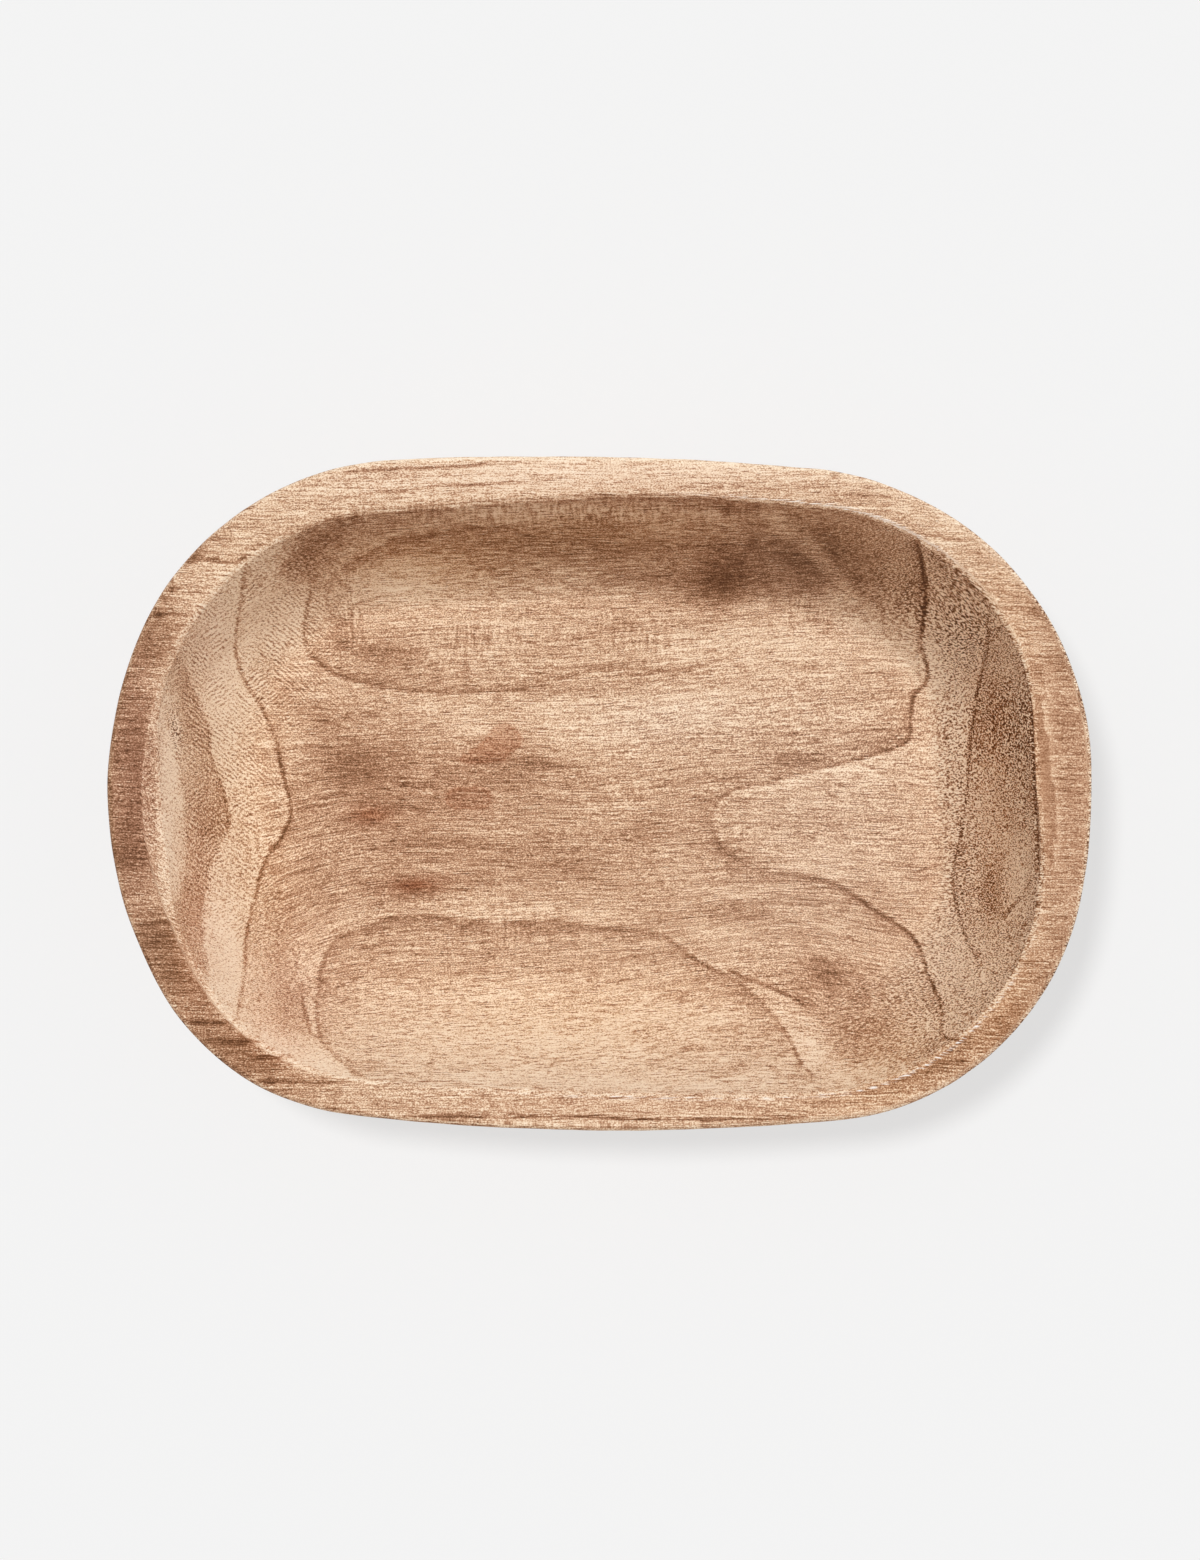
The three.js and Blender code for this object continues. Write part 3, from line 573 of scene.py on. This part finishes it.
def closed_mesh(name, grid, low_pole, high_pole):
    """A closed mesh from a grid whose rows run round: quads between rows, and a fan to a point at each
    end."""
    rows, around = grid.shape[:2]
    points = np.concatenate([grid.reshape(-1, 3), [low_pole, high_pole]]) * MM
    here = np.arange(around)
    after = np.roll(here, -1)
    row = np.arange(rows - 1)[:, None] * around
    quads = np.stack([row + here, row + after, row + around + after, row + around + here], axis=-1)
    low_fan = np.stack([np.full(around, rows * around), after, here], axis=-1)
    last = (rows - 1) * around
    high_fan = np.stack([last + here, last + after, np.full(around, rows * around + 1)], axis=-1)
    faces = quads.reshape(-1, 4).tolist() + low_fan.tolist() + high_fan.tolist()
    mesh = bpy.data.meshes.new(name)
    mesh.from_pydata(points.tolist(), [], faces)
    mesh.validate()
    mesh.polygons.foreach_set("use_smooth", np.ones(len(mesh.polygons), bool))
    piece = bpy.data.objects.new(name, mesh)
    bpy.context.scene.collection.objects.link(piece)
    return piece


def keep(piece, name, values):
    """Keeps one number for each point of a piece, for its material to read."""
    attribute = piece.data.attributes.new(name, "FLOAT", "POINT")
    attribute.data.foreach_set("value", np.asarray(values, np.float32))


def linear(hex_colour):
    """An sRGB hex colour as linear red, green, blue and full alpha."""
    part = np.array([int(hex_colour[i:i + 2], 16) for i in (1, 3, 5)]) / 255
    return (*np.where(part <= 0.04045, part / 12.92, ((part + 0.055) / 1.055) ** 2.4), 1.0)


def add(tree, kind, inputs=None, **settings):
    """Adds a node with its settings. inputs maps a socket's name or number to what feeds it: another node's
    socket, which is linked, or a plain value."""
    node = tree.nodes.new(kind)
    for name, value in settings.items():
        setattr(node, name, value)
    for name, source in (inputs or {}).items():
        if isinstance(source, bpy.types.NodeSocket):
            tree.links.new(source, node.inputs[name])
        else:
            node.inputs[name].default_value = source
    return node


# The wood's grain, by size: length along the fibres and width across them seen from above and from the end,
# in mm, two levels of the noise that draws it, and what it adds to the tone at each.
# A real vessel is about 0.3 mm wide: vessels and dashes are drawn coarser, or they wouldn't show.
GRAINS = dict(
    streaks=((150, 12, 12), (0.25, 0.75), (-0.05, 0.05)),
    bands=((60, 3.0, 4.0), (0.25, 0.75), (-0.035, 0.035)),
    fibres=((30, 0.5, 1.2), (0.25, 0.75), (-0.17, 0.17)),
    dashes=((5, 0.45, 1.0), (0.25, 0.75), (-0.18, 0.18)),
    grit=((0.6, 0.4, 0.55), (0.25, 0.75), (-0.38, 0.38)),
    vessels=((6, 0.45, 1.1), (0.57, 0.70), (0.03, -0.22)),
)
# The same for what shows only where the mark of its name says: the pores of the end grain, and the blade's
# chatter, which is drawn out across the fibres
MARKED_GRAINS = dict(
    end_grain=((5, 0.5, 0.85), (0.3, 0.7), (0.60, -0.64)),
    chatter=((1.3, 9.0, 9.0), (0.3, 0.7), (-0.2, 0.2)),
)
# Noises of round hills, by their size in mm, and how far the first two shift the fibres aside, in mm
HILLS = dict(sway=95.0, wiggle=13.0, ripple_bend=4.0, ripple_patch=16.0)
SWAY_BY, WIGGLE_BY = 4.0, 0.5
MOST_HILLS = (0.3, 0.7)  # levels between which most of such a noise lies

# Ripples that the blade left, in two sets that take turns: the way each set's lines run, in degrees round
# from +X, and the levels of noise over which the set comes in. Then their spacing and how far they waver, in
# mm, and the tone that they add or take. The real ones are about 1.1 mm apart, and these a little coarser.
RIPPLE_SETS = [(38, (0.5, 0.36)), (-40, (0.46, 0.6))]
RIPPLE_APART = 1.45
RIPPLE_WAVER = 1.3
RIPPLE_TONE = 0.19

# The colour of the wood by tone
BASE_TONE = 0.775
TONES = {0.0: "#55351f", 0.25: "#744f34", 0.5: "#9b7053", 0.75: "#c89f80", 0.92: "#e7cbad", 1.0: "#eed5b8",
         1.2: "#f8e6cf"}
PALEST_TONE = max(TONES)
# The brown of stains and spills, also used as painted warm shade on the walls
STAIN_AND_SHADE_BROWN = "#c9946f"
TORN_WHITE = "#f4eee8"
# A spill ends at this amount, which dashes of grain feather. Then how softly it ends, how deep its colour
# is inside, and how wide and how deep the darker line along its edge is.
SPILL_ENDS, SPILL_FEATHERED = 0.5, 0.8
SPILL_SOFT, SPILL_DEEP = 0.08, 0.32
SPILL_LINE_WIDE, SPILL_LINE_DEEP = 0.2, 0.3
VESSEL_DEEP = 0.25


def carved_wood(marks):
    """Paulownia, carved and sanded and left bare. It is a light, coarse wood: pale tan to pink brown, with
    open vessels that show as short dark dashes along the fibres and as dots on the end grain, wide rings
    with a thin dark line at each, and no shine. It reads the marks that the piece keeps, by their names."""
    material = bpy.data.materials.new("paulownia_carved_bare")
    material.use_nodes = True
    tree = material.node_tree
    tree.nodes.clear()
    place = add(tree, "ShaderNodeTexCoord").outputs["Object"]
    mark = {name: add(tree, "ShaderNodeAttribute", attribute_name=name).outputs["Fac"] for name in marks}
    hills = {}
    for name, size in HILLS.items():
        noise = add(tree, "ShaderNodeTexNoise", {"Vector": place, "Scale": 1 / (size * MM), "Detail": 1.0})
        hills[name] = noise.outputs

    # The fibres run along X, sway a little over a hand's width, wiggle over a finger's and rise in places
    along = place
    for shift, reach in ((hills["sway"]["Color"], (0, 2 * SWAY_BY * MM, 2 * SWAY_BY * MM)),
                         (hills["wiggle"]["Color"], (0, 2 * WIGGLE_BY * MM, 2 * WIGGLE_BY * MM)),
                         (mark["lift"], (0, -MM, 0))):
        along = add(tree, "ShaderNodeVectorMath", {0: shift, 1: reach, 2: along},
                    operation="MULTIPLY_ADD").outputs["Vector"]

    # Grain: noise drawn out along the fibres. Chatter crosses them and doesn't sway.
    grain = {}
    for name, (sizes, levels, amounts) in (GRAINS | MARKED_GRAINS).items():
        drawn_out = add(tree, "ShaderNodeVectorMath", {
            0: place if name == "chatter" else along, 1: tuple(1 / (size * MM) for size in sizes)},
            operation="MULTIPLY")
        noise = add(tree, "ShaderNodeTexNoise", {
            "Vector": drawn_out.outputs["Vector"], "Scale": 1.0, "Detail": 1.0})
        grain[name] = add(tree, "ShaderNodeMapRange", {
            "Value": noise.outputs["Fac"], "From Min": levels[0], "From Max": levels[1],
            "To Min": amounts[0], "To Max": amounts[1]}).outputs["Result"]
    grain["coarse"] = 0.0
    for name in GRAINS:
        grain["coarse"] = add(tree, "ShaderNodeMath", {0: grain[name], 1: grain["coarse"]},
                              operation="ADD").outputs["Value"]

    # Depth of tone: the broad shade, then the sum of the grains, the pores and the chatter, as marked
    tone = mark["shade"]
    for name in ("coarse", "end_grain", "chatter"):
        tone = add(tree, "ShaderNodeMath", {0: grain[name], 1: mark[name], 2: tone},
                   operation="MULTIPLY_ADD").outputs["Value"]

    # Ripples: a sine of the distance across its lines, which a noise bends. Another noise picks the set.
    turns = FULL_TURN / (RIPPLE_APART * MM)
    for way, levels in RIPPLE_SETS:
        across = math.radians(way + 90)
        crossed = add(tree, "ShaderNodeVectorMath", {
            0: place, 1: (turns * math.cos(across), turns * math.sin(across), 0)}, operation="DOT_PRODUCT")
        bent = add(tree, "ShaderNodeMath", {
            0: hills["ripple_bend"]["Fac"], 1: 2 * FULL_TURN * RIPPLE_WAVER / RIPPLE_APART,
            2: crossed.outputs["Value"]}, operation="MULTIPLY_ADD")
        ripple = add(tree, "ShaderNodeMath", {0: bent.outputs["Value"]}, operation="SINE")
        here = add(tree, "ShaderNodeMapRange", {
            "Value": hills["ripple_patch"]["Fac"], "From Min": levels[0], "From Max": levels[1],
            "To Max": RIPPLE_TONE})
        shown = add(tree, "ShaderNodeMath", {0: here.outputs["Result"], 1: mark["rippled"]},
                    operation="MULTIPLY")
        tone = add(tree, "ShaderNodeMath", {0: ripple.outputs["Value"], 1: shown.outputs["Value"], 2: tone},
                   operation="MULTIPLY_ADD").outputs["Value"]

    # The ring lines: dark and ragged where the distance to one passes through zero, stronger here and there
    ragged = add(tree, "ShaderNodeMath", {0: grain["fibres"], 1: mark["frayed"], 2: mark["ring_side"]},
                 operation="MULTIPLY_ADD")
    off_line = add(tree, "ShaderNodeMath", {0: ragged.outputs["Value"]}, operation="ABSOLUTE")
    on_line = add(tree, "ShaderNodeMapRange", {
        "Value": off_line.outputs["Value"], "From Min": LINE_WIDE, "From Max": 0.0},
        interpolation_type="SMOOTHSTEP")
    uneven = add(tree, "ShaderNodeMapRange", {
        "Value": hills["wiggle"]["Fac"], "From Min": MOST_HILLS[0], "From Max": MOST_HILLS[1],
        "To Min": -FAINTEST_LINE, "To Max": -DARKEST_LINE})
    line = add(tree, "ShaderNodeMath", {0: on_line.outputs["Result"], 1: mark["ring_dark"]},
               operation="MULTIPLY")
    tone = add(tree, "ShaderNodeMath", {0: line.outputs["Value"], 1: uneven.outputs["Result"], 2: tone},
               operation="MULTIPLY_ADD").outputs["Value"]

    # Colour: by tone, then richer or greyer, and turned round the colour circle, where 0.5 is no turn
    scaled = add(tree, "ShaderNodeMath", {0: tone, 1: 1 / PALEST_TONE}, operation="MULTIPLY")
    ramp = add(tree, "ShaderNodeValToRGB", {"Fac": scaled.outputs["Value"]})
    stops = ramp.color_ramp.elements
    stops.remove(stops[0])
    stops[0].position, stops[0].color = 1.0, linear(TONES[PALEST_TONE])
    for at, hex_colour in TONES.items():
        if at < PALEST_TONE:
            stops.new(at / PALEST_TONE).color = linear(hex_colour)
    saturation = add(tree, "ShaderNodeMath", {0: mark["richness"], 1: 1.0}, operation="ADD")
    hue = add(tree, "ShaderNodeMath", {0: mark["hue_turn"], 1: 1 / 360, 2: 0.5}, operation="MULTIPLY_ADD")
    wood = add(tree, "ShaderNodeHueSaturation", {
        "Hue": hue.outputs["Value"], "Saturation": saturation.outputs["Value"],
        "Color": ramp.outputs["Color"]})

    # Stains and spills soak in as a warmer brown, the same brown is painted warm shade on the steep walls,
    # and torn fibres along the lip show as white flecks
    feathered = add(tree, "ShaderNodeMath", {0: grain["dashes"], 1: SPILL_FEATHERED, 2: mark["spill"]},
                    operation="MULTIPLY_ADD")
    inside = add(tree, "ShaderNodeMapRange", {
        "Value": feathered.outputs["Value"], "From Min": SPILL_ENDS - SPILL_SOFT,
        "From Max": SPILL_ENDS + SPILL_SOFT, "To Max": SPILL_DEEP})
    from_edge = add(tree, "ShaderNodeMath", {0: feathered.outputs["Value"], 1: SPILL_ENDS},
                    operation="SUBTRACT")
    off_edge = add(tree, "ShaderNodeMath", {0: from_edge.outputs["Value"]}, operation="ABSOLUTE")
    at_edge = add(tree, "ShaderNodeMapRange", {
        "Value": off_edge.outputs["Value"], "From Min": SPILL_LINE_WIDE, "From Max": 0.0,
        "To Max": SPILL_LINE_DEEP})
    browning = mark["stain_and_warm_shade"]
    for spill in (inside, at_edge):
        browning = add(tree, "ShaderNodeMath", {0: browning, 1: spill.outputs["Result"]},
                     operation="ADD").outputs["Value"]
    browned = add(tree, "ShaderNodeMix", {0: browning, 6: wood.outputs["Color"], 7: linear(STAIN_AND_SHADE_BROWN)},
                  data_type="RGBA", blend_type="MULTIPLY")
    fleck = add(tree, "ShaderNodeMath", {0: mark["torn"], 1: grain["dashes"]},
                operation="MULTIPLY", use_clamp=True)
    flecked = add(tree, "ShaderNodeMix", {
        0: fleck.outputs["Value"], 6: browned.outputs[2], 7: linear(TORN_WHITE)}, data_type="RGBA")

    # Relief: the vessels are open, so they lie a little lower
    height = add(tree, "ShaderNodeMath", {0: grain["vessels"], 1: grain["dashes"]}, operation="ADD")
    bump = add(tree, "ShaderNodeBump", {
        "Height": height.outputs["Value"], "Strength": 0.5, "Distance": VESSEL_DEEP * MM})
    shader = add(tree, "ShaderNodeBsdfPrincipled", {
        "Base Color": flecked.outputs[2], "Roughness": 0.8, "IOR": 1.5, "Specular IOR Level": 0.2,
        "Normal": bump.outputs["Normal"]})
    add(tree, "ShaderNodeOutputMaterial", {"Surface": shader.outputs["BSDF"]})
    return material


# Hills and dips that the carver left: height and length in mm, and seed. They are as high as that in the
# hollow, have a share of it elsewhere, and die out towards the base below the given height.
UNEVEN = [(0.3, 48.0, 2), (0.12, 17.0, 3)]
UNEVEN_OUTSIDE = 0.3
EVEN_BELOW = 8.0
# End grain starts to show where a surface faces this far along or across the fibres, and shows fully this
# much farther. The hollow is fully steep where it faces so much away from straight up.
END_GRAIN_FROM, END_GRAIN_OVER = 0.3, 0.45
STEEP_OVER = 0.5
# How open the pores are at the two ends and on the long sides
RIGHT_PORES, LEFT_PORES, SIDE_PORES = 1.25, 0.3, 0.2
# Round the bowl: painted light on the rim's outer edge, strongest as a painted highlight on the far side; a
# painted highlight on the near lip; painted light on the steep walls, with painted shade on the far right
# ones;
# painted warm shade on the walls, warmest on the far right; and how torn the lip is. Each is a value that
# holds all round, and bells that add to it.
OUTER_EDGE_PAINTED_LIGHT = (0.05, [(95, 45, 0.14)])
LIP_PAINTED_HIGHLIGHT = (0.0, [(-92, 38, 0.12)])
STEEP_PAINTED_LIGHT_AND_SHADE = (0.09, [(66, 72, -0.34)])
STEEP_PAINTED_WARM_SHADE = (0.05, [(45, 75, 0.12)])
TORN = (0.0, [(43, 9, 14.0), (-39, 13, 14.0), (-75, 25, 5.6), (61, 14, 5.6)])
# The row in the middle of each of these stretches, and over how many rows it dies away
OUTER_EDGE_ROWS = (RIM_FROM_ROW - 3, 4)
LIP_HIGHLIGHT_ROWS = (LIP_FROM_ROW + 2, 3)
TORN_ROWS = (LIP_FROM_ROW, 2)


def carved_bowl():
    """The bowl's skin with the carver's unevenness, the rings' relief and the crack pressed into it along
    the outward direction, and the figure of the wood, with painted light and shade, kept at each point as
    marks."""
    grid = bowl_surface()
    rows = len(grid)
    middle_low, middle_high = (0, 0, 0), (0, 0, FLOOR_THICKNESS)
    places = np.concatenate([grid.reshape(-1, 3), [middle_low, middle_high]])
    facing = np.concatenate([outward_of(grid).reshape(-1, 3), [(0, 0, -1), (0, 0, 1)]])
    seen = as_seen(places)

    row_of = np.append(np.repeat(np.arange(rows), AROUND), [0, rows])
    from_above = row_of >= RIM_FROM_ROW
    hollow = row_of >= LIP_FROM_ROW
    rim = from_above & ~hollow
    end_on, side_on = np.clip((np.abs(facing[:, :2]) - END_GRAIN_FROM) / END_GRAIN_OVER, 0, 1).T
    steep = np.where(hollow, np.clip((1 - facing[:, 2]) / STEEP_OVER, 0, 1), 0)
    by_row = lambda middle, reach: np.clip(1 - np.abs(row_of - middle) / reach, 0, 1)
    all_round = lambda plain, bells: plain + bells_round(places, bells)
    spots_on = lambda part, spots: np.where(part, spotted(seen, spots), 0)

    side, dark, shade = layer_figure(places)
    relief = np.zeros(len(places))
    side[from_above], dark[from_above], shade[from_above], relief[from_above] = ring_figure(seen[from_above])
    from_crack, along_crack = side_of(seen, CRACK)
    crack = np.where(hollow, swelling(from_crack, CRACK_WIDE) * ends_faded(along_crack, CRACK_FADE), 0)
    relief = np.where(hollow, relief, 0) - CRACK_DEEP * crack

    shade += BASE_TONE - CRACK_DARK * crack
    shade += np.where(hollow, spotted(seen, HOLLOW_PATCHES), spotted(seen, RIM_PATCHES))
    # Painted light on the rim's outer edge, a painted highlight on the near lip, and painted light and shade
    # on the steep walls
    shade += by_row(*OUTER_EDGE_ROWS) * all_round(*OUTER_EDGE_PAINTED_LIGHT)
    shade += by_row(*LIP_HIGHLIGHT_ROWS) * all_round(*LIP_PAINTED_HIGHLIGHT)
    shade += steep * all_round(*STEEP_PAINTED_LIGHT_AND_SHADE)
    pores = end_on * np.where(places[:, 0] > 0, RIGHT_PORES, LEFT_PORES) + SIDE_PORES * side_on
    marks = dict(
        shade=shade,
        end_grain=pores + spots_on(hollow, OPEN_PORES),
        coarse=1 - spots_on(rim, WORN_SMOOTH),
        lift=spots_on(from_above, LIFTS) + spots_on(hollow, HOLLOW_LIFTS),
        ring_side=np.clip(side - LINE_ASIDE, -FARTHEST_SIDE, FARTHEST_SIDE),
        ring_dark=dark,
        frayed=FRAYED * (1 - LESS_FRAYED_END_ON * end_on),
        # Real stains, plus painted warm shade on the steep walls, warmest on the far right
        stain_and_warm_shade=spots_on(from_above, STAINS_AND_WARM_SHADE) + steep * all_round(*STEEP_PAINTED_WARM_SHADE),
        spill=spots_on(hollow, SPILLS),
        richness=spots_on(from_above, RICHNESS),
        hue_turn=spots_on(from_above, HUE_TURNS),
        chatter=spots_on(from_above, CHATTER),
        rippled=spots_on(hollow, RIPPLED),
        torn=by_row(*TORN_ROWS) * all_round(*TORN),
    )

    uneven = sum(height * waves(grid, length, seed) for height, length, seed in UNEVEN)
    share = np.where(np.arange(rows) >= WALL_FROM_ROW, 1.0, UNEVEN_OUTSIDE)[:, None]
    share = share * np.clip(grid[..., 2] / EVEN_BELOW, 0, 1)
    press = share * uneven + relief[:-2].reshape(rows, AROUND)
    grid = grid + press[..., None] * outward_of(grid)
    grid[..., 2] = np.minimum(grid[..., 2], HEIGHT)

    piece = closed_mesh("carved_bowl", grid, middle_low, middle_high)
    for name, values in marks.items():
        keep(piece, name, values)
    piece.data.materials.append(carved_wood(marks))
    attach(piece, "root")
    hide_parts("bowl")
    return piece


bowl = carved_bowl()

# Camera: straight down, with the bowl's middle as far from the frame's middle as in the photograph
camera_data = bpy.data.cameras.new("overhead")
camera_data.sensor_width = SENSOR
camera_data.lens = SENSOR * CAMERA_ABOVE_RIM / (FRAME_HIGH_PX * MM_PER_PX)
camera_data.clip_start, camera_data.clip_end = NEAREST_SEEN * MM, FARTHEST_SEEN * MM
camera = bpy.data.objects.new("overhead", camera_data)
camera.location = (CAMERA_X * MM, CAMERA_Y * MM, (HEIGHT + CAMERA_ABOVE_RIM) * MM)
bpy.context.scene.collection.objects.link(camera)
bpy.context.scene.camera = camera


def paper_floor():
    """Smooth matt paper, just off white. What the camera and any gloss see of it is mostly its own even
    paleness, so it stays white to the frame's edges and still takes the bowl's shadow."""
    material = bpy.data.materials.new("matt_paper")
    material.use_nodes = True
    tree = material.node_tree
    tree.nodes.clear()
    paper = add(tree, "ShaderNodeBsdfDiffuse", {"Color": linear("#e7e7e7")})
    even = add(tree, "ShaderNodeEmission", {"Color": (1, 1, 1, 1), "Strength": 0.645})
    shaded = add(tree, "ShaderNodeBsdfDiffuse", {"Color": linear("#898989")})
    backdrop = add(tree, "ShaderNodeAddShader", {0: even.outputs["Emission"], 1: shaded.outputs["BSDF"]})
    ray = add(tree, "ShaderNodeLightPath").outputs
    seen = ray["Is Camera Ray"]
    for kind in ("Is Glossy Ray", "Is Transmission Ray"):
        seen = add(tree, "ShaderNodeMath", {0: seen, 1: ray[kind]}, operation="MAXIMUM").outputs["Value"]
    surface = add(tree, "ShaderNodeMixShader", {
        0: seen, 1: paper.outputs["BSDF"], 2: backdrop.outputs["Shader"]})
    add(tree, "ShaderNodeOutputMaterial", {"Surface": surface.outputs["Shader"]})
    return material


FLOOR_REACH = 20000.0 * MM
floor_corners = np.array([(-1, -1, 0), (1, -1, 0), (1, 1, 0), (-1, 1, 0)]) * FLOOR_REACH
floor_mesh = bpy.data.meshes.new("floor")
floor_mesh.from_pydata(floor_corners.tolist(), [], [(0, 1, 2, 3)])
floor = bpy.data.objects.new("floor", floor_mesh)
floor.data.materials.append(paper_floor())
bpy.context.scene.collection.objects.link(floor)


def sun(name, lights, azimuth, elevation, strength, softness, colour="#ffffff"):
    """A distant soft light that lights one thing only. Azimuth is the way it comes from, in degrees round
    from +X, elevation is its height in degrees, and softness is how wide it looks, in degrees."""
    data = bpy.data.lights.new(name, "SUN")
    data.color = linear(colour)[:3]
    data.energy = strength
    data.angle = math.radians(softness)
    light = bpy.data.objects.new(name, data)
    light.rotation_euler = (0, math.radians(90 - elevation), math.radians(azimuth))
    bpy.context.scene.collection.objects.link(light)
    group = bpy.data.collections.new(name + "_lights")
    group.objects.link(lights)
    light.light_linking.receiver_collection = group


sun("window", bowl, azimuth=62, elevation=58, strength=2.1, softness=14)
sun("card", bowl, azimuth=238, elevation=42, strength=0.8, softness=100, colour="#fff1e2")
sun("floor_light", floor, azimuth=137, elevation=74, strength=2.14, softness=9)

world = bpy.data.worlds.new("studio")
bpy.context.scene.world = world
world.use_nodes = True
world_light = world.node_tree.nodes["Background"].inputs
world_light["Color"].default_value = (1, 1, 1, 1)
world_light["Strength"].default_value = 0.37

bpy.context.scene.view_settings.view_transform = "Standard"
